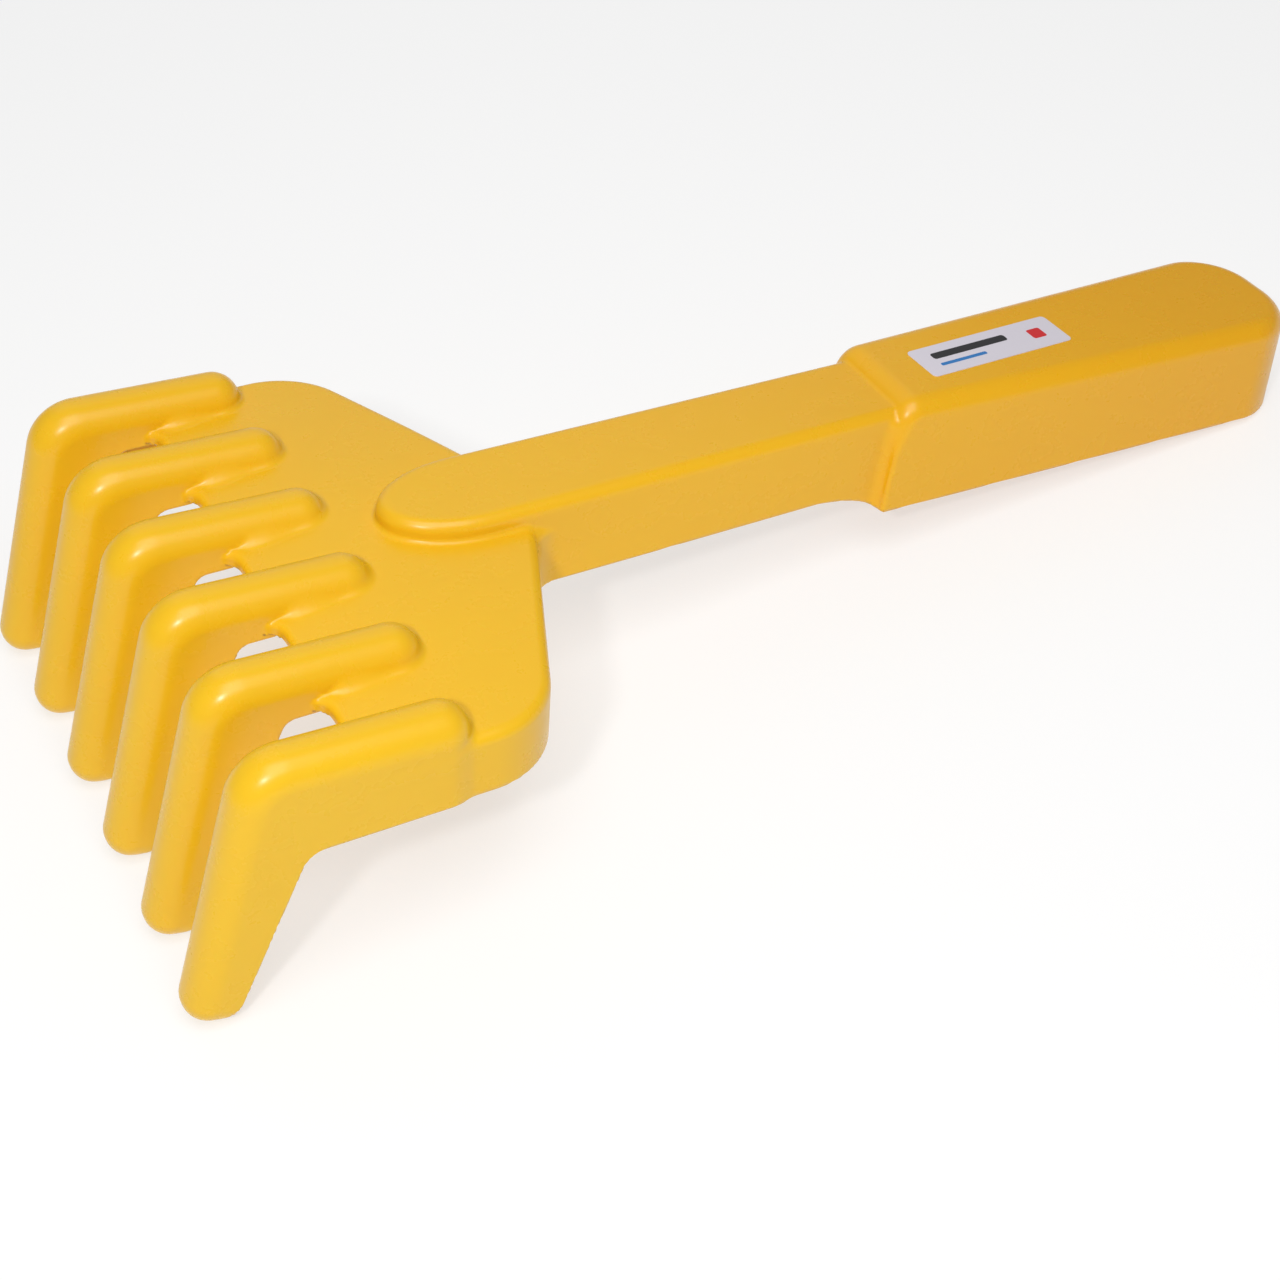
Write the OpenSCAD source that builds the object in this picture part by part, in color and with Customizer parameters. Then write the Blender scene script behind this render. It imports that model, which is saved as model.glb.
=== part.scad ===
// Sand rake: a hand-shaped head with curved tines, a neck and a hollow handle, open underneath.
// It is drawn level, with the top of the head plate at height 0 and the plate's front edge at length 0,
// then set down on the floor, where the tine tips and the end of the handle touch it.

/* [Moulding] */
// Wall of the moulding, and thickness of the head plate
wall = 2.5; // [1.6:0.1:2.8]
// Depth of the rim round the head and the neck, below the top of the plate
rim_depth = 12.1; // [8:0.1:14]

/* [Head] */
// Number of tines
tine_count = 6; // [4:1:8]
// Distance between the middles of neighbouring tines
tine_pitch = 20; // [16:0.5:26]
// How far the inner tines lie behind the outer ones
inner_set_back = 0.6; // [0:0.1:2]
// How far the outer tines stand out from the sides of the plate
tine_proud = 0.9; // [0.5:0.1:2]
// Plate from its front edge to the corners where the shoulders start
plate_len = 30.2; // [24:0.1:40]
// Length over which the shoulders close in on the neck
shoulder_len = 18.4; // [12:0.2:30]
// Radius of the two rear corners of the plate
corner_r = 15.3; // [4:0.1:18]
// Radius along the top edge of the plate
plate_edge_r = 1.9; // [0.8:0.1:2]

/* [Tines] */
// Width of a tine
tine_w = 10; // [8:0.2:12]
// Radius that rounds a tine across its width
tine_round = 4.8; // [3:0.1:5]
// Length of the ridge on the plate, behind the plate's front edge
ridge_len = 16.9; // [12:0.1:22]
// Height of the ridge above the plate, at the plate's front edge
ridge_top = 5.9; // [5.5:0.1:9]
// Rise of the ridge towards the bend, in degrees
ridge_slope = 2.2; // [0:0.1:8]
// Radius at the rear end of the ridge, seen from the side
ridge_end_r = 5; // [4.8:0.1:6]
// Outer radius of the bend
bend_r = 9.4; // [8:0.1:14]
// How far the front of a tine lies ahead of the plate's front edge, at the height of the plate
tine_reach = 22.5; // [19:0.1:28]
// Lean of the front of a tine, in degrees
tine_lean = 14.1; // [8:0.1:20]
// Lean of the open back of a tine, in degrees
back_lean = 23.2; // [18:0.1:28]
// How far the open back lies ahead of the plate's front edge, at the height of the rim
back_gap = 11.5; // [10:0.1:13]
// Radius between the open back and the plate or the rim
back_fillet_r = 4.4; // [2:0.1:6]
// Depth of the tine tips below the top of the plate
tine_drop = 44.6; // [36:0.2:46]

/* [Neck] */
// Distance of the tip of the neck behind the plate's front edge
neck_start = 23.6; // [20:0.1:28]
// Length of the neck's round nose
neck_nose = 17; // [9:0.5:20]
// Width of the neck where it starts
neck_w_front = 20.9; // [16:0.1:24]
// Width of the neck at the handle
neck_w_rear = 20.2; // [16:0.2:24]
// Height of the neck above the plate where it starts
neck_top_front = 5.8; // [4:0.1:8]
// Height of the neck above the plate at the handle
neck_top_rear = 5.1; // [4:0.1:8]
// Radius along the top edge of the neck
neck_edge_r = 2.2; // [1:0.1:3]

/* [Handle] */
// Start of the handle's flare behind the plate's front edge
handle_start = 106.3; // [90:0.1:140]
// Length of the flare that deepens the neck into the handle
flare_len = 15.4; // [10:0.1:20]
// Length over which the neck widens into the handle, at the end of the flare
side_flare_len = 3; // [2:0.1:8]
// Length over which the top of the handle rises behind the flare
top_rise_len = 5.5; // [2:0.5:6]
// Length of the handle with its flare
handle_len = 115.7; // [80:0.1:140]
// Width of the handle behind the flare
handle_w_front = 24.7; // [20:0.1:32]
// Width of the handle where its rounded end starts
handle_w_rear = 31; // [22:0.2:36]
// Height of the handle above the plate, at its front
handle_top = 7.1; // [6:0.1:10]
// How far the top of the handle falls towards its end
handle_fall = 1.8; // [0:0.1:3]
// Depth of the handle below the plate
handle_depth = 16.1; // [12:0.1:20]
// Radius along the top edge of the handle
handle_edge_r = 3.7; // [3:0.1:5]
// Length of the rounded end of the handle
end_len = 11; // [8:0.5:15]

/* [Label] */
// Length of the label
label_len = 34; // [20:0.2:50]
// Width of the label
label_w = 9.5; // [6:0.1:11]
// Thickness of the label
label_t = 0.15; // [0.1:0.05:0.4]
// Radius of the label's corners
label_corner_r = 1; // [0.4:0.1:2]
// Middle of the label behind the start of the handle
label_from_start = 45.8; // [35:0.1:60]
// Middle of the label to the side of the centre line
label_side = 0; // [-1:0.1:1]
// Turn of the label on the handle, in degrees
label_turn = 2.2; // [-3:0.1:3]

/* [Hidden] */

yellow = "#E8B43A";
label_grey = "#D8D6DE";

// Cuts run past the faces that they cut by this much
overrun = 1;

// Smallest radius along an edge inside the moulding
inner_edge_r = 0.4;

// Steps along rounded stretches
edge_steps = 4;
arc_steps = 6;
tip_steps = 8;
channel_steps = 2;

// How far a quarter turn runs on the blunt ends of the neck and the handle, in degrees
end_turn = 80;

// Most of a tine's smallest radius that its rounding may use, and of a half width that an edge may use
round_share = 0.97;
edge_share = 0.9;

// Part of a quarter circle that the flare in front of the handle follows
flare_share = 0.83;

// Derived sizes of the head
tine_half = tine_w / 2;
head_half = (tine_count - 1) * tine_pitch / 2 + tine_half - tine_proud;
function tine_place(k) =
    [k == 1 || k == tine_count ? 0 : inner_set_back, (k - (tine_count + 1) / 2) * tine_pitch, 0];

// Derived sizes of the neck and the handle
handle_end = handle_start + handle_len;
flare_end = handle_start + flare_len;
end_start = handle_end - end_len;
neck_join = plate_len + shoulder_len;
function between(a, b, share) = a + (b - a) * share;
function neck_share(x) = (x - neck_start) / (handle_start - neck_start);
function neck_half(x) = between(neck_w_front, neck_w_rear, neck_share(x)) / 2;
function neck_top(x) = between(neck_top_front, neck_top_rear, neck_share(x));

// Where two lines meet, each given by its unit normal and its distance along that normal
function meet(n, a, m, b) =
    let (det = n.x * m.y - n.y * m.x)
    [(a * m.y - b * n.y) / det, (n.x * b - m.x * a) / det];
function unit(angle) = [cos(angle), sin(angle)];

// Side view of a tine: outward normals and lines of its top, its front and its open back
top_angle = 90 - ridge_slope;
front_angle = 180 - tine_lean;
back_angle = 360 - back_lean;
top_line = unit(top_angle) * [0, ridge_top];
front_line = unit(front_angle) * [-tine_reach, 0];
back_line = unit(back_angle) * [-back_gap, -rim_depth];
end_c = meet([1, 0], ridge_len - ridge_end_r, unit(top_angle), top_line - ridge_end_r);
bend_c = meet(unit(top_angle), top_line - bend_r, unit(front_angle), front_line - bend_r);

// The tip is a circle that touches the front, the back and the depth of the tines
tip_corner = meet(unit(front_angle), front_line, unit(back_angle), back_line);
tip_step = meet(unit(front_angle), -1, unit(back_angle), -1);
tip_r = (tine_drop + tip_corner.y) / (1 - tip_step.y);
tip_c = tip_corner + tip_r * tip_step;
tine_crown_r = min(tine_round, tine_half, ridge_end_r);

// Share of that rounding which the smaller tip can take
tip_round_share = min(1, round_share * tip_r / tine_crown_r);

// A path is a list of points with outward normals, so that it can be set in by any wall
function arc_path(c, r, from, to, steps) =
    [for (i = [0 : steps])
        let (n = unit(between(from, to, i / steps)))
        [c.x + r * n.x, c.y + r * n.y, n.x, n.y]];
function fading(path, from, to) =
    [for (i = [0 : len(path) - 1])
        let (share = between(from, to, i / (len(path) - 1)))
        [path[i][0], path[i][1], path[i][2] * share, path[i][3] * share]];
function still(path) = fading(path, 0, 0);
function set_in(path, d) = [for (p = path) [p[0] - d * p[2], p[1] - d * p[3]]];
function mirrored(points) =
    concat(points, [for (i = [len(points) - 1 : -1 : 0]) [points[i].x, -points[i].y]]);

// Closed solid through rings of points, each ring with as many points as the others
module loft(rings) {
    count = len(rings[0]);
    last = len(rings) - 1;
    points = [for (ring = rings) for (p = ring) p];
    sides = [for (i = [0 : last - 1]) for (j = [0 : count - 1])
        let (a = i * count + j, b = i * count + (j + 1) % count)
        for (face = [[a, b, b + count], [a, b + count, a + count]]) face];
    first_cap = [for (j = [count - 1 : -1 : 0]) j];
    last_cap = [for (j = [0 : count - 1]) last * count + j];
    polyhedron(points, concat(sides, [first_cap, last_cap]), convexity = 10);
}

// Places across a rounded width, each with how far the rounding sets it in there
function crown(half, r, steps) = concat(
    [for (i = [steps : -1 : 0])
        let (n = unit(90 - 90 * i / steps))
        [r - half - r * n.x, r - r * n.y]],
    [for (i = [0 : steps])
        let (n = unit(90 - 90 * i / steps))
        [half - r + r * n.x, r - r * n.y]]
);

// Fillet between the open back of a tine and a level face at the given depth
function back_fillet_c(depth) =
    meet(unit(back_angle), back_line + back_fillet_r, [0, -1], depth + back_fillet_r);
function back_fillet(depth) =
    arc_path(back_fillet_c(depth), back_fillet_r, 180 - back_lean, 90, edge_steps);

// Outline of a tine from the side, round its ridge, bend, front and tip to its open back
tine_side = concat(
    [[ridge_len, -wall, 1, 0]],
    arc_path(end_c, ridge_end_r, 0, top_angle, edge_steps),
    arc_path(bend_c, bend_r, top_angle, front_angle, arc_steps),
    fading(arc_path(tip_c, tip_r, front_angle, back_angle, tip_steps), tip_round_share, 0),
    still(back_fillet(wall))
);

// Outline of the channel inside a tine, which is open at the back and under the plate
channel_floor = unit(270 - back_lean);
channel_exit = tip_c + tip_r * channel_floor + (tip_r + overrun) * unit(back_angle);
channel_side = concat(
    [[ridge_len, -wall - overrun, 1, 0]],
    arc_path(end_c, ridge_end_r, 0, top_angle, channel_steps),
    arc_path(bend_c, bend_r, top_angle, front_angle, channel_steps),
    fading(
        concat(
            arc_path(tip_c, tip_r, front_angle, 270 - back_lean, channel_steps),
            [[channel_exit.x, channel_exit.y, channel_floor.x, channel_floor.y]]),
        tip_round_share, tip_round_share),
    [[back_fillet_c(wall).x, back_fillet_c(wall).y, 0, 0]]
);

// Rings of a shape drawn from the side, one for each place across its width
function across(path, half, r, depth, steps) =
    [for (c = crown(half, r, steps))
        [for (p = set_in(path, depth + c[1])) [p.x, c[0], p.y]]];

// Footprint of a tine on the plate, set in by a wall
function footprint(front, inset) = concat(
    [for (c = crown(tine_half - inset, tine_crown_r - inset, edge_steps)) [ridge_len - inset - c[1], c[0]]],
    [[front, tine_half - inset], [front, inset - tine_half]]
);

// Plan of the plate: sides, rounded corners, and shoulders that would meet behind the neck
shoulder = [neck_join - plate_len, neck_half(neck_join) - head_half];
shoulder_angle = atan2(shoulder.x, -shoulder.y);
shoulder_line = unit(shoulder_angle) * [plate_len, head_half];
corner_c = meet([0, 1], head_half - corner_r, unit(shoulder_angle), shoulder_line - corner_r);
function half_plan(front) = concat(
    [[front, head_half, 0, 1]],
    arc_path(corner_c, corner_r, 90, shoulder_angle, arc_steps),
    [[shoulder_line / cos(shoulder_angle), 0, 1 / cos(shoulder_angle), 0]]
);
function plan(front, inset) = mirrored(set_in(half_plan(front), inset));

// Heights up the edge of the plate, each with how far the rounded edge sets it in there
plate_levels = concat(
    [[-rim_depth, 0]],
    [for (i = [0 : edge_steps])
        let (n = unit(90 * i / edge_steps))
        [plate_edge_r * n.y - plate_edge_r, plate_edge_r - plate_edge_r * n.x]]
);

// Stations along the neck: length and half width, with a blunt round start
neck_inner_join = meet(unit(shoulder_angle), shoulder_line - wall, [0, 1], neck_half(neck_join)).x;
function neck_stations(inset) =
    let (c = neck_start + neck_nose, half = neck_half(c) - inset)
    concat(
        [for (i = [0 : arc_steps])
            let (n = unit(between(end_turn, 0, i / arc_steps)))
            [c - (neck_nose - inset) * n.y / sin(end_turn), half * n.x]],
        [[neck_inner_join, neck_half(neck_inner_join) - inset]]
    );

// Arched section with rounded top edges, as a ring of points
function arch(x, half, top, bottom, r) =
    let (fit = min(r, edge_share * half))
    [for (p = concat(
        [[half, bottom]],
        [for (i = [0 : edge_steps])
            let (n = unit(90 * i / edge_steps))
            [half - fit + fit * n.x, top - fit + fit * n.y]],
        [for (i = [edge_steps : -1 : 0])
            let (n = unit(90 * i / edge_steps))
            [fit - half - fit * n.x, top - fit + fit * n.y]],
        [[-half, bottom]]))
        [x, -p.x, p.y]];
function neck_ring(x, half, bottom, inset) =
    arch(x, half, neck_top(x) - inset, bottom, max(neck_edge_r - inset, inner_edge_r));

// Sizes along the handle: half width, top and bottom
function flare_share_at(x, length) =
    let (part = min(1, max(0, 1 - (flare_end - x) / length)) * flare_share)
    (1 - sqrt(1 - part * part)) / (1 - sqrt(1 - flare_share * flare_share));
function grip_half(x) =
    between(handle_w_front, handle_w_rear, (x - flare_end) / (end_start - flare_end)) / 2;
function handle_half(x) =
    between(neck_half(handle_start), grip_half(max(x, flare_end)), flare_share_at(x, side_flare_len));
function top_rise_share_at(x) =
    let (left = 1 - min(1, max(0, (x - flare_end) / top_rise_len)))
    sqrt(1 - left * left);
fall_rate = handle_fall / (handle_end - flare_end);
function grip_top(x) = handle_top - fall_rate * (x - flare_end);
function handle_top_at(x) =
    between(neck_top(min(x, flare_end)), grip_top(max(x, flare_end)), top_rise_share_at(x));
function handle_bottom_at(x) = -between(rim_depth, handle_depth, flare_share_at(x, flare_len));
function handle_edge_at(x) = between(neck_edge_r, handle_edge_r, flare_share_at(x, flare_len));
function end_drop(x, inset) =
    let (over = max(0, x - handle_end + inset + handle_edge_r))
    handle_edge_r - sqrt(max(0, handle_edge_r * handle_edge_r - over * over));

// Stations along the handle: length and half width, closer together where the flare is steep
function handle_stations(inset) = concat(
    [for (i = [0 : arc_steps])
        let (left = 1 - i / arc_steps, x = flare_end - flare_len * left * left)
        [x, handle_half(x) - inset]],
    [for (i = [1 : edge_steps])
        let (x = flare_end + top_rise_len * (1 - cos(90 * i / edge_steps)))
        [x, handle_half(x) - inset]],
    [for (i = [0 : tip_steps])
        let (n = unit(end_turn * i / tip_steps))
        [end_start + (end_len - inset) * n.y / sin(end_turn), (handle_half(end_start) - inset) * n.x]]
);
function handle_ring(s, inset, under) =
    arch(s[0], s[1], handle_top_at(s[0]) - inset - end_drop(s[0], inset),
        handle_bottom_at(s[0]) - under, max(handle_edge_at(s[0]) - inset, inner_edge_r));

// Set down on the floor: the line under the tine tips and the end of the handle becomes level
rest_reach = [handle_end, -handle_depth] - tip_c - [inner_set_back, 0];
rest_tilt = atan2(rest_reach.y, rest_reach.x) + asin(tip_r / norm(rest_reach));
function rest_x(p) = p.x * cos(rest_tilt) + p.y * sin(rest_tilt);
function rest_z(p) = p.y * cos(rest_tilt) - p.x * sin(rest_tilt);
rest_front = rest_x(tip_c) - tip_r;
rest_rear = rest_x([handle_end - handle_edge_r, handle_top - handle_fall - handle_edge_r]) + handle_edge_r;
rest_floor = rest_z([handle_end, -handle_depth]);
module at_rest() {
    translate([-(rest_front + rest_rear) / 2, 0, -rest_floor])
        rotate([0, rest_tilt, 0])
            children();
}

// Prism across the width from an outline that is drawn from the side
module side_prism(points, width) {
    rotate([90, 0, 0])
        linear_extrude(width, center = true)
            polygon(points);
}

// Prism between two heights from an outline that is drawn from above
module plan_prism(points, low, high) {
    translate([0, 0, low])
        linear_extrude(high - low)
            polygon(points);
}

module plate_block() {
    loft([for (level = plate_levels)
        [for (p = plan(0, level[1])) [p.x, p.y, level[0]]]]);
}

// Side wall under an outer tine, from the open back of the tine to the rim
module flank_block(k) {
    under = concat(
        [for (p = back_fillet(wall)) [p[0], p[1]]],
        [[ridge_len, -wall], [ridge_len, -rim_depth]],
        [for (i = [edge_steps : -1 : 0]) let (p = back_fillet(rim_depth)[i]) [p[0], p[1]]]
    );
    translate(tine_place(k))
        intersection() {
            plan_prism(footprint(-tine_reach, 0), -rim_depth - overrun, 0);
            side_prism(under, tine_w + overrun);
        }
}

module head_plate() {
    color(yellow) at_rest() difference() {
        union() {
            plate_block();
            for (k = [1, tine_count]) flank_block(k);
        }
        plan_prism(plan(-tine_reach - overrun, wall), -rim_depth - overrun, -wall);
        for (k = [1, tine_count])
            translate(tine_place(k))
                plan_prism(footprint(-tine_reach - overrun, wall), -rim_depth - overrun, -wall);
        for (k = [1 : tine_count])
            translate(tine_place(k))
                plan_prism(footprint(-tine_reach, 0), -wall, overrun);
        plan_prism(
            mirrored(concat(neck_stations(0), [[handle_start, neck_half(handle_start)]])),
            -rim_depth - overrun, overrun);
    }
}

module tine(k) {
    color(yellow) at_rest() translate(tine_place(k)) difference() {
        loft(across(tine_side, tine_half, tine_crown_r, 0, edge_steps));
        loft(across(channel_side, tine_half - wall, tine_crown_r - wall, wall, channel_steps));
    }
}

module neck() {
    color(yellow) at_rest() difference() {
        union() {
            loft([for (s = neck_stations(0)) neck_ring(s[0], s[1], -wall, 0)]);
            loft([for (x = [neck_inner_join, handle_start]) neck_ring(x, neck_half(x), -rim_depth, 0)]);
        }
        loft(concat(
            [for (s = neck_stations(wall)) neck_ring(s[0], s[1], -rim_depth - overrun, wall)],
            [neck_ring(handle_start + overrun, neck_half(handle_start) - wall, -rim_depth - overrun, wall)]));
    }
}

module handle() {
    color(yellow) at_rest() difference() {
        loft([for (s = handle_stations(0)) handle_ring(s, 0, 0)]);
        loft(concat(
            [neck_ring(handle_start - overrun, neck_half(handle_start) - wall, -rim_depth - overrun, wall)],
            [for (s = handle_stations(wall)) handle_ring(s, wall, overrun)]));
    }
}

module label() {
    label_at = handle_start + label_from_start;
    at = [label_len / 2 - label_corner_r, label_w / 2 - label_corner_r];
    corners = [[at.x, at.y, 0], [-at.x, at.y, 90], [-at.x, -at.y, 180], [at.x, -at.y, 270]];
    outline = [for (c = corners)
        for (p = arc_path(c, label_corner_r, c[2], c[2] + 90, arc_steps)) [p[0], p[1]]];
    color(label_grey) at_rest()
        translate([label_at, label_side, grip_top(label_at)])
            rotate([0, atan(fall_rate), 0])
                rotate([0, 0, label_turn])
                    linear_extrude(label_t)
                        polygon(outline);
}

head_plate();
for (k = [1 : tine_count])
    tine(k);
neck();
handle();
label();
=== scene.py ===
"""Sand rake on a pale floor: a satin yellow moulding, open below, with a printed label on its handle."""

import math

import bpy
import numpy as np
from mathutils import Matrix, Vector


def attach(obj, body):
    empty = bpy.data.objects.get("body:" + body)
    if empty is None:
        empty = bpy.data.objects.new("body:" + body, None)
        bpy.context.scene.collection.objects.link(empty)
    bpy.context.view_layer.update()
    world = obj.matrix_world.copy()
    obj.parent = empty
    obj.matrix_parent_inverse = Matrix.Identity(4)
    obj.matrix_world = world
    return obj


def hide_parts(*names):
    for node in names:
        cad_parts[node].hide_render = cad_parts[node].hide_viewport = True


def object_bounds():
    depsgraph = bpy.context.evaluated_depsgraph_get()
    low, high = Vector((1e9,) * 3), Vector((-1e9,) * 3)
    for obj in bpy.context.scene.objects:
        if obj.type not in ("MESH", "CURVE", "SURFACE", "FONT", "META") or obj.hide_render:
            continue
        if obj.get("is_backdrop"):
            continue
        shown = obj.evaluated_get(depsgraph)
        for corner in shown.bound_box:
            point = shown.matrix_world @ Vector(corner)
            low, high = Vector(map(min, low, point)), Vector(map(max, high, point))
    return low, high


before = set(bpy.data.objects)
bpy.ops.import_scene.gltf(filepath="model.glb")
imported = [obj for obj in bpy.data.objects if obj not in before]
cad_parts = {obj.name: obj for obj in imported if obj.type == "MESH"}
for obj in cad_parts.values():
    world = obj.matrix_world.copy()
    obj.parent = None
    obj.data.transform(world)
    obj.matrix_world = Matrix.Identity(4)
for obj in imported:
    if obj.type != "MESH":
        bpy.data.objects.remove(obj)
cad_low, cad_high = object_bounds()

# Sizes of the moulding in millimetres. It is drawn level: length runs from the front edge of the head plate
# to the end of the handle, width from the centre line, height from the top of the plate.
WALL = 2.5
RIM_DEPTH = 12.1
UNDER_EDGE_R = 0.5
HOLLOW_FILLET_R = 0.8

# Head plate
TINE_PITCH = 20.0
TINE_SIDES = 3
TINE_PROUD = 0.9
PLATE_LEN = 30.2
SHOULDER_LEN = 18.4
CORNER_R = 15.3
PLATE_EDGE_R = 1.9
PLATE_FRONT_R = 1.3
SLOT_END = -0.8
SLOT_BOW = 2.2
BOW_POWER = 4
SLOT_HIDDEN = 1.5
PLATE_CROWN = 2.0
CROWN_AT = 30.0
CROWN_REACH = 42.0
CROWN_POWER = 1.5
PLATE_HIDDEN = 8.0
INNER_SET_BACK = 0.6

# Tines
TINE_W = 10.0
TINE_ROUND = 4.8
RIDGE_LEN = 16.9
RIDGE_TOP = 5.9
RIDGE_SLOPE = 2.2
RIDGE_END_R = 5.0
RIDGE_FOOT_R = 2.4
RIDGE_END_FOOT_R = 1.2
SLOT_FOOT_R = 0.3
SLOT_FOOT_FROM = -1.0
SLOT_FOOT_TO = 3.0
WIDE_FOOT_TO = 4.0
END_FOOT_FROM = 11.0
WIDE_FOOT_INSET = 4.0
BEND_R = 9.4
TINE_REACH = 22.5
TINE_LEAN = 14.1
BACK_LEAN = 23.2
BACK_GAP = 11.5
FLANK_DEPTH = 3.1
FLANK_FILLET_R = 2.5
FLANK_INSET = 0.5
WALL_END = -0.7
TIP_BACK_R = 6.5
BACK_FILLET_R = 4.4
TINE_DROP = 44.6

# Neck
NECK_START = 23.6
NECK_NOSE = 17.0
NECK_W_FRONT = 20.9
NECK_W_REAR = 20.2
NECK_TOP_FRONT = 5.8
NECK_TOP_REAR = 5.1
NECK_EDGE_R = 2.2
NECK_FOOT_R = 1.0
NECK_SIDE_R = 4.1
NECK_SIDE_FADE = 2.5
NECK_HIDDEN = 10.0
NOSE_LEAST = 0.1

# Handle
HANDLE_START = 106.3
FLARE_LEN = 15.4
FLARE_SHARE = 0.83
FLARE_SHARE_MOST = 0.98
FLARE_EDGE_R = 0.4
FLARE_SIDE_R = 2.0
HANDLE_LEN = 115.7
HANDLE_W_FRONT = 24.7
HANDLE_W_REAR = 31.0
HANDLE_TOP = 7.1
HANDLE_FALL = 1.8
HANDLE_DEPTH = 16.1
HANDLE_EDGE_R = 3.7
HANDLE_FRONT_R = 0.7
EDGE_FULL_DEPTH = 1.0
EDGE_THIN_DEPTH = 12.0
HANDLE_STEP_R = 4.5
HANDLE_LEAN = 0.1
HANDLE_DRAFT = 0.03
DRAFT_LEVEL = 3.0
END_LEN = 11.0
END_R = 12.9
STEP_FOOT_R = 0.5
STEP_FOOT_DEPTH = 0.5
FLARE_SIDE_DEPTH = 3.0

# Label
LABEL_LEN = 34.0
LABEL_W = 9.5
LABEL_T = 0.15
LABEL_CORNER_R = 1.0
LABEL_BEVEL = 0.04
LABEL_FROM_START = 45.8
LABEL_SIDE = 0.0
LABEL_TURN = 2.2
INK_T = 0.02
INK_BEVEL = 0.01
DARK_BAR = dict(length=18.0, width=2.0, r=0.6, along=-4.2, aside=1.3)
BLUE_BAR = dict(length=11.0, width=0.9, r=0.3, along=-7.7, aside=-1.7)
RED_SQUARE = dict(length=3.2, width=3.2, r=0.5, along=11.6, aside=0.0)


def unit(angle):
    """Direction at an angle in degrees, in the side view or in the plan."""
    return np.array([math.cos(math.radians(angle)), math.sin(math.radians(angle))])


def meet(n, a, m, b):
    """Point where two lines meet, each given by its unit normal and its distance along that normal."""
    return np.linalg.solve(np.array([n, m]), np.array([a, b]))


def between(a, b, share):
    """Value at a share of the way from a to b."""
    return a + (b - a) * share


def ease(low, high, value):
    """0 below low, 1 above high, and a smooth step between them."""
    share = np.clip((value - low) / (high - low), 0, 1)
    return share * share * (3 - 2 * share)


# Lines of a tine seen from the side, with the angles of their outward normals
TOP_ANGLE = 90 - RIDGE_SLOPE
FRONT_ANGLE = 180 - TINE_LEAN
BACK_ANGLE = 360 - BACK_LEAN
BASE_ANGLE = BACK_ANGLE - 90
UNDER_ANGLE = 270
TOP_LINE = unit(TOP_ANGLE) @ [0, RIDGE_TOP]
FRONT_LINE = unit(FRONT_ANGLE) @ [-TINE_REACH, 0]
BACK_LINE = unit(BACK_ANGLE) @ [-BACK_GAP, -RIM_DEPTH]

# The tip is a circle that touches the front, the back and the depth of the tines
TIP_CORNER = meet(unit(FRONT_ANGLE), FRONT_LINE, unit(BACK_ANGLE), BACK_LINE)
TIP_STEP = meet(unit(FRONT_ANGLE), -1, unit(BACK_ANGLE), -1)
TIP_R = (TINE_DROP + TIP_CORNER[1]) / (1 - TIP_STEP[1])
TIP_C = TIP_CORNER + TIP_R * TIP_STEP
BASE_LINE = unit(BASE_ANGLE) @ TIP_C + TIP_R

# Half width of the head, and places along the neck and the handle
HEAD_HALF = (TINE_SIDES - 0.5) * TINE_PITCH + TINE_W / 2 - TINE_PROUD
HANDLE_END = HANDLE_START + HANDLE_LEN
FLARE_END = HANDLE_START + FLARE_LEN
END_START = HANDLE_END - END_LEN
NECK_JOIN = PLATE_LEN + SHOULDER_LEN


def neck_half(x):
    """Half width of the neck, which narrows to the handle."""
    return between(NECK_W_FRONT, NECK_W_REAR, (x - NECK_START) / (HANDLE_START - NECK_START)) / 2


def neck_top(x):
    """Height of the top of the neck, which falls to the handle."""
    return between(NECK_TOP_FRONT, NECK_TOP_REAR, (x - NECK_START) / (HANDLE_START - NECK_START))


SHOULDER_ANGLE = math.degrees(math.atan2(SHOULDER_LEN, HEAD_HALF - neck_half(NECK_JOIN)))
SHOULDER_LINE = unit(SHOULDER_ANGLE) @ [PLATE_LEN, HEAD_HALF]

# The rest position: the line under the tine tips and the end of the handle becomes level
REST_REACH = np.array([HANDLE_END, -HANDLE_DEPTH]) - TIP_C - [INNER_SET_BACK, 0]
REST_TILT = math.atan2(REST_REACH[1], REST_REACH[0]) + math.asin(TIP_R / math.hypot(*REST_REACH))


def rest_length(x, z):
    """Place along the floor of a point of the level drawing."""
    return x * math.cos(REST_TILT) + z * math.sin(REST_TILT)


def rest_height(x, z):
    """Height at rest of a point of the level drawing."""
    return z * math.cos(REST_TILT) - x * math.sin(REST_TILT)


REST_FRONT = rest_length(*TIP_C) - TIP_R
END_TOP = HANDLE_TOP - HANDLE_FALL
REST_REAR = rest_length(HANDLE_END - HANDLE_EDGE_R, END_TOP - HANDLE_EDGE_R) + HANDLE_EDGE_R
REST_FLOOR = rest_height(HANDLE_END, -HANDLE_DEPTH)

# One millimetre of the drawing in the frame's own units
MM = (cad_high.x - cad_low.x) / (REST_REAR - REST_FRONT)
AT_REST = (
    Matrix.Translation(((cad_low.x + cad_high.x) / 2, (cad_low.y + cad_high.y) / 2, cad_low.z))
    @ Matrix.Scale(MM, 4)
    @ Matrix.Translation((-(REST_FRONT + REST_REAR) / 2, 0, -REST_FLOOR))
    @ Matrix.Rotation(REST_TILT, 4, "Y")
)


def corner(a, b, r, cosine=0.0):
    """Solid where both distances are negative, with its edge rounded; cosine is that of the two normals."""
    a = a + r
    b = b + r
    beyond = (a > cosine * b) & (b > cosine * a)
    reach = np.sqrt(np.maximum(a * a + b * b - 2 * cosine * a * b, 0) / (1 - cosine * cosine))
    return np.where(beyond, reach, np.maximum(a, b)) - r


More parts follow.
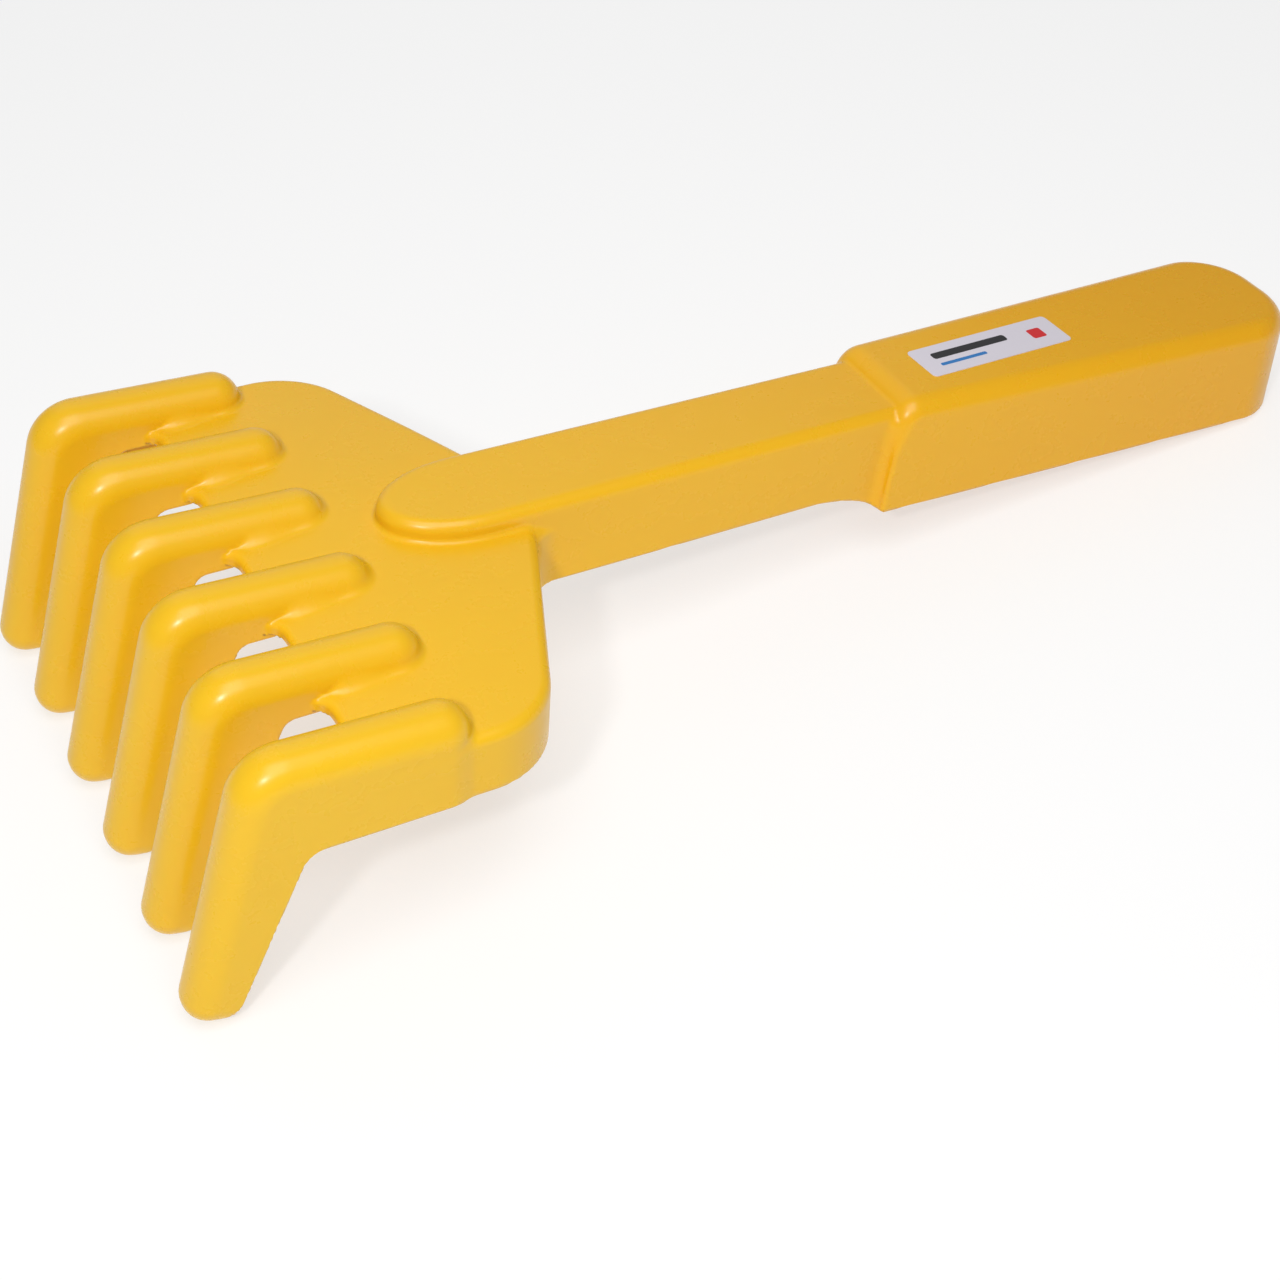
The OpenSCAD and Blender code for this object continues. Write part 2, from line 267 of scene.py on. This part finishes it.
def fillet(a, b, r, cosine=0.0):
    """Union of two solids with a hollow rounding where they meet."""
    return -corner(-a, -b, r, cosine)


def turn_cosine(a, b):
    """Cosine of the turn between two angles in degrees."""
    return math.cos(math.radians(a - b))


def side_line(x, z, angle, reach):
    """Distance beyond a line that is given by the angle of its normal and its reach along it."""
    n = unit(angle)
    return n[0] * x + n[1] * z - reach


def flare_share(x):
    """Share of the deepening from the neck to the handle, along part of a circle."""
    part = np.clip((x - HANDLE_START) / FLARE_LEN * FLARE_SHARE, 0, FLARE_SHARE_MOST)
    return (1 - np.sqrt(1 - part * part)) / (1 - math.sqrt(1 - FLARE_SHARE * FLARE_SHARE))


def lower_of(a, b, r):
    """The smaller of two values, with the change from one to the other rounded."""
    return np.minimum(a, b) - np.maximum(r - np.abs(a - b), 0) ** 2 / (4 * r)


def grip_half(x):
    """Half width of the handle, which widens to its end."""
    share = np.clip((x - FLARE_END) / (END_START - FLARE_END), 0, 1)
    return between(HANDLE_W_FRONT, HANDLE_W_REAR, share) / 2


def rim_depth(x):
    """Depth of the rim under the head, the neck and the handle."""
    return lower_of(between(RIM_DEPTH, HANDLE_DEPTH, flare_share(x)), HANDLE_DEPTH, FLARE_EDGE_R)


def grip_top(x):
    """Height of the top of the handle, which falls a little to its end."""
    return HANDLE_TOP - HANDLE_FALL * np.clip((x - FLARE_END) / (HANDLE_END - FLARE_END), 0, 1)


def plate_top(x, side):
    """Height of the top of the plate, which is crowned along and across."""
    along = (np.clip(x, -PLATE_HIDDEN, NECK_JOIN) - CROWN_AT) / CROWN_REACH
    across = np.minimum(side / HEAD_HALF, 1)
    return PLATE_CROWN * (1 - along * along) * (1 - across * across) ** CROWN_POWER


def plate_block(x, side, z):
    """Outside of the head plate without the slots in its front, as a block without an underside."""
    shoulder = side_line(x, side, SHOULDER_ANGLE, SHOULDER_LINE)
    plan = corner(side - HEAD_HALF, shoulder, CORNER_R, turn_cosine(90, SHOULDER_ANGLE))
    return corner(plan, z - plate_top(x, side), PLATE_EDGE_R)


def plate_solid(x, side, z):
    """Head plate with a bowed slot end between each two tines; its front is hidden inside the tines."""
    place = np.clip(np.round(side / TINE_PITCH), 0, TINE_SIDES - 1)
    half = (TINE_PITCH - TINE_W) / 2
    aside = np.abs(side - place * TINE_PITCH) / half
    bow_slope = BOW_POWER * SLOT_BOW / half * aside ** (BOW_POWER - 1)
    bow = (x - SLOT_END + SLOT_BOW * aside ** BOW_POWER) / np.hypot(1, bow_slope)
    slot = np.maximum(bow, (aside - 1) * half - SLOT_HIDDEN)
    front = corner(plate_block(x, side, z), -slot, PLATE_FRONT_R)
    return np.maximum(front, -PLATE_HIDDEN - x)


def bar_solid(x, side, z):
    """Outside of the neck and the handle, as a block without an underside."""
    half = neck_half(x)
    ahead = np.maximum(NECK_START + NECK_NOSE - x, 0) * half / NECK_NOSE
    reach = np.maximum(np.hypot(ahead, side), NOSE_LEAST)
    nose = (reach - half) * reach / np.maximum(np.hypot(ahead * half / NECK_NOSE, side), NOSE_LEAST)
    neck = corner(np.maximum(nose, x - FLARE_END - NECK_HIDDEN), z - neck_top(x), NECK_EDGE_R)

    top = z - grip_top(x)
    draft = HANDLE_DRAFT * (z - DRAFT_LEVEL)
    plan = corner(side - grip_half(x) + draft, x - HANDLE_END + draft, END_R)
    roof = corner(FLARE_END + HANDLE_LEAN * (z + HANDLE_DEPTH) - x, top, HANDLE_STEP_R)
    edge_share = ease(-EDGE_THIN_DEPTH, -EDGE_FULL_DEPTH, top)
    grip = corner(plan, roof, between(HANDLE_FRONT_R, HANDLE_EDGE_R, edge_share))
    step_share = ease(-FLARE_SIDE_DEPTH, -STEP_FOOT_DEPTH, z - neck_top(x))
    return fillet(neck, grip, between(FLARE_SIDE_R, STEP_FOOT_R, step_share))


def tine_solid(x, across, z):
    """Outside of a tine, from the rear end of its ridge to its tip, as a block without an open back."""
    rear = x - RIDGE_LEN
    top = side_line(x, z, TOP_ANGLE, TOP_LINE)
    front = side_line(x, z, FRONT_ANGLE, FRONT_LINE)
    base = side_line(x, z, BASE_ANGLE, BASE_LINE)
    ridge_end = corner(rear, top, RIDGE_END_R, turn_cosine(0, TOP_ANGLE))
    bend = corner(top, front, BEND_R, turn_cosine(TOP_ANGLE, FRONT_ANGLE))
    tip = corner(front, base, TIP_R, turn_cosine(FRONT_ANGLE, BASE_ANGLE))
    past = base + TIP_R
    behind = side_line(x, z, BACK_ANGLE, BACK_LINE) + TIP_R
    round_back = np.hypot(past, behind * ease(0, TIP_R, past)) - TIP_R
    tip = np.where((past > 0) & (behind > 0), round_back, tip)
    profile = np.maximum(np.maximum(ridge_end, bend), tip)
    return corner(profile, across - TINE_W / 2, TINE_ROUND)


def moulding(x, y, z):
    """Signed distance to the surface of the moulding, negative inside the plastic."""
    side = np.abs(y)
    place = np.clip(np.round(side / TINE_PITCH - 0.5), 0, TINE_SIDES - 1)
    across = np.abs(side - (place + 0.5) * TINE_PITCH)
    tine_x = x - np.where(place < TINE_SIDES - 1, INNER_SET_BACK, 0.0)

    bar = bar_solid(x, side, z)
    tine = tine_solid(tine_x, across, z)
    skin = plate_top(x, side)
    foot_r = between(NECK_SIDE_R, NECK_FOOT_R, ease(-NECK_SIDE_FADE, 0, z - skin))
    outside = fillet(plate_solid(x, side, z), bar, foot_r)
    wide_share = ease(0, WIDE_FOOT_INSET, HEAD_HALF - side) * (1 - ease(WIDE_FOOT_TO, END_FOOT_FROM, x))
    ridge_foot_r = between(RIDGE_END_FOOT_R, RIDGE_FOOT_R, wide_share)
    ridge_foot_r = between(SLOT_FOOT_R, ridge_foot_r, ease(SLOT_FOOT_FROM, SLOT_FOOT_TO, x))
    outside = fillet(outside, tine, ridge_foot_r)

    under = fillet(plate_block(x, side, z), bar, foot_r) + WALL
    under = np.maximum(under, -PLATE_HIDDEN - x)
    under = np.maximum(under, -np.maximum(tine, x - WALL_END))
    hollow = fillet(under, tine + WALL, HOLLOW_FILLET_R)
    shell = np.maximum(outside, -hollow)

    base = side_line(tine_x, z, BASE_ANGLE, BASE_LINE)
    back = corner(base, side_line(tine_x, z, BACK_ANGLE, BACK_LINE), TIP_BACK_R)
    cosine = turn_cosine(BACK_ANGLE, UNDER_ANGLE)
    kept = fillet(back, -FLANK_DEPTH - z, FLANK_FILLET_R, cosine)
    flank = fillet(back, -RIM_DEPTH - z, BACK_FILLET_R, cosine)
    flank_in = (TINE_SIDES - 0.5) * TINE_PITCH + FLANK_INSET
    kept = np.minimum(kept, np.maximum(flank, flank_in - side))
    kept = np.minimum(kept, np.maximum(-rim_depth(x) - z, -x))
    return corner(shell, kept, UNDER_EDGE_R)


def stretch(*stops):
    """Grid places through (end, step) stops; the first stop's step is that of no stretch."""
    places = [np.array([stops[0][0]])]
    for (low, _), (high, step) in zip(stops, stops[1:]):
        count = max(1, round((high - low) / step))
        places.append(np.linspace(low, high, count + 1)[1:])
    return np.concatenate(places)


def surface_net(field, axes):
    """Vertices and quads on the surface of a field, one vertex for each grid cell that it crosses."""
    values = field(*np.meshgrid(*axes, indexing="ij", sparse=True))
    values = np.broadcast_to(values, [len(a) for a in axes])
    inside = values < 0
    cells = [len(a) - 1 for a in axes]
    total = np.zeros((cells[0] * cells[1] * cells[2], 3))
    count = np.zeros(len(total))
    quads = []
    for axis in range(3):
        u = (axis + 1) % 3
        v = (axis + 2) % 3
        low = [slice(None)] * 3
        high = [slice(None)] * 3
        low[axis] = slice(None, -1)
        high[axis] = slice(1, None)
        start = np.argwhere(inside[tuple(low)] != inside[tuple(high)])
        end = start.copy()
        end[:, axis] += 1
        a = values[tuple(start.T)]
        b = values[tuple(end.T)]
        point = np.stack([axes[d][start[:, d]] for d in range(3)], 1)
        point[:, axis] += a / (a - b) * (axes[axis][end[:, axis]] - point[:, axis])
        ring = []
        for du, dv in ((-1, -1), (0, -1), (0, 0), (-1, 0)):
            cell = start.copy()
            cell[:, u] += du
            cell[:, v] += dv
            ring.append(np.ravel_multi_index(cell.T, cells))
        ring = np.stack(ring, 1)
        for column in ring.T:
            count += np.bincount(column, minlength=len(count))
            for d in range(3):
                total[:, d] += np.bincount(column, point[:, d], minlength=len(count))
        ring[a > 0] = ring[a > 0][:, ::-1]
        quads.append(ring)
    quads = np.concatenate(quads)
    used, quads = np.unique(quads, return_inverse=True)
    return total[used] / count[used][:, None], quads.reshape(-1, 4)


def slope(field, points, step=0.02):
    """Gradient of a field at points."""
    parts = []
    for d in range(3):
        ahead = points.copy()
        behind = points.copy()
        ahead[:, d] += step
        behind[:, d] -= step
        parts.append((field(*ahead.T) - field(*behind.T)) / (2 * step))
    return np.stack(parts, 1)


def pull_to(field, points, rounds=4, most=0.5, least_slope=0.1):
    """Points moved along the slope of a field until they lie on its surface."""
    for _ in range(rounds):
        g = slope(field, points)
        reach = field(*points.T) / np.maximum((g * g).sum(1), least_slope)
        points = points - np.clip(reach, -most, most)[:, None] * g
    return points


def piece_from(name, points, faces, normals=None):
    """Smooth mesh object from points in the level drawing, set down at rest, riding on the one body."""
    mesh = bpy.data.meshes.new(name)
    mesh.from_pydata([Vector(p) for p in points], [], [list(f) for f in faces])
    mesh.transform(AT_REST)
    mesh.shade_smooth()
    if normals is not None:
        turn = np.array(AT_REST.to_3x3().normalized())
        mesh.normals_split_custom_set_from_vertices((normals @ turn.T).tolist())
    piece = bpy.data.objects.new(name, mesh)
    bpy.context.scene.collection.objects.link(piece)
    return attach(piece, "root")


# Steps of the grid, and the stops where they change, in millimetres of the drawing. No face of the moulding
# may lie in a plane of the grid, so the stops are odd sizes.
SHARP = 0.45
FINE = 0.7
MEDIUM = 1.4
LONG = 2.5
TINE_STOPS = ((-39.13, FINE), (-9.07, FINE))
PLATE_STOPS = ((2.11, SHARP), (53.27, FINE))
BAR_STOPS = ((107.31, LONG), (131.19, FINE), (204.23, LONG), (223.41, FINE))
WIDTH_STOPS = ((-56.37, FINE), (56.19, FINE))
DEPTH_STOPS = ((-45.17, FINE), (-34.29, FINE), (-18.43, MEDIUM))
TOP_STOPS = ((-4.31, FINE), (1.13, SHARP), (9.11, FINE))
grid = (
    stretch(*TINE_STOPS, *PLATE_STOPS, *BAR_STOPS),
    stretch(*WIDTH_STOPS),
    stretch(*DEPTH_STOPS, *TOP_STOPS),
)
points, quads = surface_net(moulding, grid)
points = pull_to(moulding, points)
normals = slope(moulding, points)
normals /= np.linalg.norm(normals, axis=1)[:, None]
body = piece_from("moulding", points, quads, normals)
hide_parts("head_plate", "neck", "handle", *["tine_%d" % (k + 1) for k in range(2 * TINE_SIDES)])


def rounded_box(length, width, r, along=0.0, aside=0.0, steps=8):
    """Outline of a flat box with round corners, about a point of the label."""
    outline = []
    for n in range(4):
        c = np.array([length / 2 - r, width / 2 - r]) * np.sign(unit(45 + 90 * n)) + [along, aside]
        outline += [c + r * unit(90 * n + 90 * i / steps) for i in range(steps + 1)]
    return outline


def pad(outline, low, high, bevel, first):
    """Points and faces of a thin flat pad with a chamfered upper edge; first is its first point's number."""
    count = len(outline)
    middle = sum(outline) / count
    rings = []
    for inset, z in ((0, low), (0, high - bevel), (bevel, high)):
        for p in outline:
            reach = p - middle
            q = middle + reach * (1 - inset / np.abs(reach).max())
            rings.append((q[0], q[1], z))
    faces = [[first + i for i in range(count)][::-1], [first + 2 * count + i for i in range(count)]]
    for level in range(2):
        for i in range(count):
            j = (i + 1) % count
            a = first + level * count
            faces.append([a + i, a + j, a + count + j, a + count + i])
    return rings, faces


LABEL_ROTATION = math.radians(LABEL_TURN)


def on_handle(p):
    """Place on top of the handle of a point on the label."""
    turned = np.array([[math.cos(LABEL_ROTATION), -math.sin(LABEL_ROTATION)],
                       [math.sin(LABEL_ROTATION), math.cos(LABEL_ROTATION)]]) @ [p[0], p[1]]
    x = HANDLE_START + LABEL_FROM_START + turned[0]
    return (x, LABEL_SIDE + turned[1], float(grip_top(x)) + p[2])


# The label is a film with a plain print: a dark bar, a blue bar and a red square, each with its own ink
label_shapes = [(rounded_box(LABEL_LEN, LABEL_W, LABEL_CORNER_R), 0.0, LABEL_T, LABEL_BEVEL)]
for motif in (DARK_BAR, BLUE_BAR, RED_SQUARE):
    label_shapes.append((rounded_box(**motif), LABEL_T, LABEL_T + INK_T, INK_BEVEL))
label_points = []
label_faces = []
label_inks = []
for ink, (outline, low, high, bevel) in enumerate(label_shapes):
    rings, faces = pad(outline, low, high, bevel, len(label_points))
    label_points += [on_handle(p) for p in rings]
    label_faces += faces
    label_inks += [ink] * len(faces)
label = piece_from("label_sheet", label_points, label_faces)
label.data.shade_flat()
label.data.polygons.foreach_set("material_index", label_inks)
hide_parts("label")


def node(tree, kind, **inputs):
    """New shader node with some of its inputs set."""
    made = tree.nodes.new(kind)
    for key, value in inputs.items():
        made.inputs[key.replace("_", " ")].default_value = value
    return made


# Colours and finish of the plastics: waves are in metres, the depth of the glow in millimetres. Each colour
# has a second, darker colour that is painted shade, darker towards the handle end and the far side, where
# less light falls.
HALF_LENGTH = (cad_high.x - cad_low.x) / 2
PAINTED_SHADE_AXIS = (1, 0.5, 0)
# Painted shade: along this axis the colour darkens towards the handle end and the far side, where less light
# falls.
CLOUD_SCALE = 28.0
CLOUD_SHARE = 0.2
RUB_SCALE = 160.0
RUB_LOW = 0.3
RUB_HIGH = 0.7
POLISH = 0.04
DULLING = 0.05
WAVE_SCALE = 240.0
WAVE_HEIGHT = 0.0003
WAVE_STRENGTH = 0.05
YELLOW = (0.83, 0.505, 0.013)
# The second yellow is painted shade, the colour taken on towards the handle end and the far side.
YELLOW_PAINTED_SHADE = (0.80, 0.395, 0.005)
YELLOW_ROUGHNESS = 0.28
YELLOW_IOR = 1.43
GLOW_WEIGHT = 0.12
GLOW_COLOUR = (1.0, 0.45, 0.08)
GLOW_DEPTH = 2.0
LABEL_ROUGHNESS = 0.42
# The label's colours are painted a little darker the same way, as shade towards the handle end and the far
# side.
LABEL_PAINTED_SHADE_SHARE = 0.95
LABEL_COLOURS = (
    ("label_film", (0.72, 0.68, 0.75)),
    ("ink_dark", (0.016, 0.015, 0.018)),
    ("ink_blue", (0.02, 0.19, 0.52)),
    ("ink_red", (0.66, 0.015, 0.02)),
)


def plastic(name, colour, painted_shade, roughness):
    """Satin moulded plastic: faint waves in its surface, flow marks and a painted shade in its colour,
    rubbing in its gloss; the painted shade darkens the colour towards the handle end and the far side.
    """
    material = bpy.data.materials.new(name)
    material.use_nodes = True
    tree = material.node_tree
    link = tree.links.new
    shader = tree.nodes["Principled BSDF"]
    place = tree.nodes.new("ShaderNodeTexCoord")

    # Painted shade: the base colour goes over to the darker colour along the axis, towards the handle end
    # and the far side; the cloud noise on top is the plastic's own flow tone.
    along = tree.nodes.new("ShaderNodeVectorMath")
    along.operation = "DOT_PRODUCT"
    along.inputs[1].default_value = PAINTED_SHADE_AXIS
    link(place.outputs["Object"], along.inputs[0])
    painted_falloff = tree.nodes.new("ShaderNodeMapRange")
    painted_falloff.inputs["From Min"].default_value = -HALF_LENGTH
    painted_falloff.inputs["From Max"].default_value = HALF_LENGTH
    link(along.outputs["Value"], painted_falloff.inputs["Value"])
    clouds = node(tree, "ShaderNodeTexNoise", Scale=CLOUD_SCALE, Detail=3.0, Roughness=0.5)
    link(place.outputs["Object"], clouds.inputs["Vector"])
    tone_and_shade = tree.nodes.new("ShaderNodeMath")
    tone_and_shade.operation = "MULTIPLY_ADD"
    tone_and_shade.inputs[1].default_value = CLOUD_SHARE
    link(clouds.outputs["Fac"], tone_and_shade.inputs[0])
    link(painted_falloff.outputs["Result"], tone_and_shade.inputs[2])
    tone_and_shade_mix = tree.nodes.new("ShaderNodeMix")
    tone_and_shade_mix.data_type = "RGBA"
    tone_and_shade_mix.inputs["A"].default_value = (*colour, 1)
    tone_and_shade_mix.inputs["B"].default_value = (*painted_shade, 1)
    link(tone_and_shade.outputs["Value"], tone_and_shade_mix.inputs["Factor"])
    link(tone_and_shade_mix.outputs["Result"], shader.inputs["Base Color"])

    rub = node(tree, "ShaderNodeTexNoise", Scale=RUB_SCALE, Detail=4.0, Roughness=0.6)
    link(place.outputs["Object"], rub.inputs["Vector"])
    gloss = tree.nodes.new("ShaderNodeMapRange")
    gloss.inputs["From Min"].default_value = RUB_LOW
    gloss.inputs["From Max"].default_value = RUB_HIGH
    gloss.inputs["To Min"].default_value = roughness - POLISH
    gloss.inputs["To Max"].default_value = roughness + DULLING
    link(rub.outputs["Fac"], gloss.inputs["Value"])
    link(gloss.outputs["Result"], shader.inputs["Roughness"])

    waves = node(tree, "ShaderNodeTexNoise", Scale=WAVE_SCALE, Detail=1.0, Roughness=0.4)
    link(place.outputs["Object"], waves.inputs["Vector"])
    bump = tree.nodes.new("ShaderNodeBump")
    bump.inputs["Strength"].default_value = WAVE_STRENGTH
    bump.inputs["Distance"].default_value = WAVE_HEIGHT
    link(waves.outputs["Fac"], bump.inputs["Height"])
    link(bump.outputs["Normal"], shader.inputs["Normal"])
    return material


yellow = plastic("yellow_plastic", YELLOW, YELLOW_PAINTED_SHADE, YELLOW_ROUGHNESS)
shader = yellow.node_tree.nodes["Principled BSDF"]
shader.inputs["Subsurface Weight"].default_value = GLOW_WEIGHT
shader.inputs["Subsurface Radius"].default_value = GLOW_COLOUR
shader.inputs["Subsurface Scale"].default_value = GLOW_DEPTH * MM
shader.inputs["IOR"].default_value = YELLOW_IOR
body.data.materials.append(yellow)

for name, colour in LABEL_COLOURS:
    # Each label colour gets a darker copy for the painted shade.
    painted_shade = [LABEL_PAINTED_SHADE_SHARE * c for c in colour]
    label.data.materials.append(plastic(name, colour, painted_shade, LABEL_ROUGHNESS))


# Floor and surroundings; the floor's size and the gap above it are in metres
FLOOR_SIZE = 60.0
FLOOR_GAP = 0.0002
FLOOR_GREY = 0.35
FLOOR_GLOW = 0.62
FLOOR_ROUGHNESS = 0.8
WORLD_STRENGTH = 0.26
WHITE = (1, 1, 1, 1)
reach = FLOOR_SIZE / 2
floor_corners = [(-reach, -reach, 0), (reach, -reach, 0), (reach, reach, 0), (-reach, reach, 0)]
floor_mesh = bpy.data.meshes.new("floor")
floor_mesh.from_pydata(floor_corners, [], [(0, 1, 2, 3)])
floor = bpy.data.objects.new("floor", floor_mesh)
floor.location.z = cad_low.z - FLOOR_GAP
bpy.context.scene.collection.objects.link(floor)
floor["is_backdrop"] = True
floor_material = bpy.data.materials.new("floor")
floor_material.use_nodes = True
floor_shader = floor_material.node_tree.nodes["Principled BSDF"]
floor_shader.inputs["Base Color"].default_value = (FLOOR_GREY, FLOOR_GREY, FLOOR_GREY, 1)
floor_shader.inputs["Emission Color"].default_value = WHITE
floor_shader.inputs["Emission Strength"].default_value = FLOOR_GLOW
floor_shader.inputs["Roughness"].default_value = FLOOR_ROUGHNESS
floor.data.materials.append(floor_material)

world = bpy.data.worlds.new("studio")
bpy.context.scene.world = world
world.use_nodes = True
world.node_tree.nodes["Background"].inputs["Color"].default_value = WHITE
world.node_tree.nodes["Background"].inputs["Strength"].default_value = WORLD_STRENGTH


def area_light(name, at, aim, size, power):
    """Soft square light at a place in millimetres, turned to a point."""
    data = bpy.data.lights.new(name, "AREA")
    data.size = size * MM
    data.energy = power
    lamp = bpy.data.objects.new(name, data)
    lamp.location = Vector(at) * MM
    lamp.rotation_mode = "QUATERNION"
    lamp.rotation_quaternion = (Vector(aim) - Vector(at)).to_track_quat("-Z", "Y")
    bpy.context.scene.collection.objects.link(lamp)
    return lamp


# Lights: places and sizes in millimetres, powers in watts
HEAD_AIM = (-40, 0, 20)
MIDDLE_AIM = (0, 0, 20)
area_light("key", at=(-315, -325, 420), aim=HEAD_AIM, size=45, power=1.05)
area_light("fill", at=(-90, -250, 590), aim=HEAD_AIM, size=450, power=2.3)
area_light("backdrop", at=(150, 650, 520), aim=MIDDLE_AIM, size=900, power=1.2)

# Camera: places in millimetres, roll in degrees, and the near clip in metres
CAMERA_AT = (-156.0, -271.9, 273.4)
CAMERA_AIM = (-24.0, -9.3, 0)
CAMERA_ROLL = -2.87
CAMERA_LENS = 59.97
CAMERA_SENSOR = 36.0
CAMERA_CLIP = 0.01
camera_data = bpy.data.cameras.new("camera")
camera_data.lens = CAMERA_LENS
camera_data.sensor_width = CAMERA_SENSOR
camera_data.clip_start = CAMERA_CLIP
camera = bpy.data.objects.new("camera", camera_data)
look = (Vector(CAMERA_AIM) - Vector(CAMERA_AT)).to_track_quat("-Z", "Y").to_matrix()
roll = Matrix.Rotation(math.radians(CAMERA_ROLL), 3, "Z")
camera.matrix_world = Matrix.Translation(Vector(CAMERA_AT) * MM) @ (look @ roll).to_4x4()
bpy.context.scene.collection.objects.link(camera)
bpy.context.scene.camera = camera
bpy.context.scene.view_settings.view_transform = "Standard"

low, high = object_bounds()
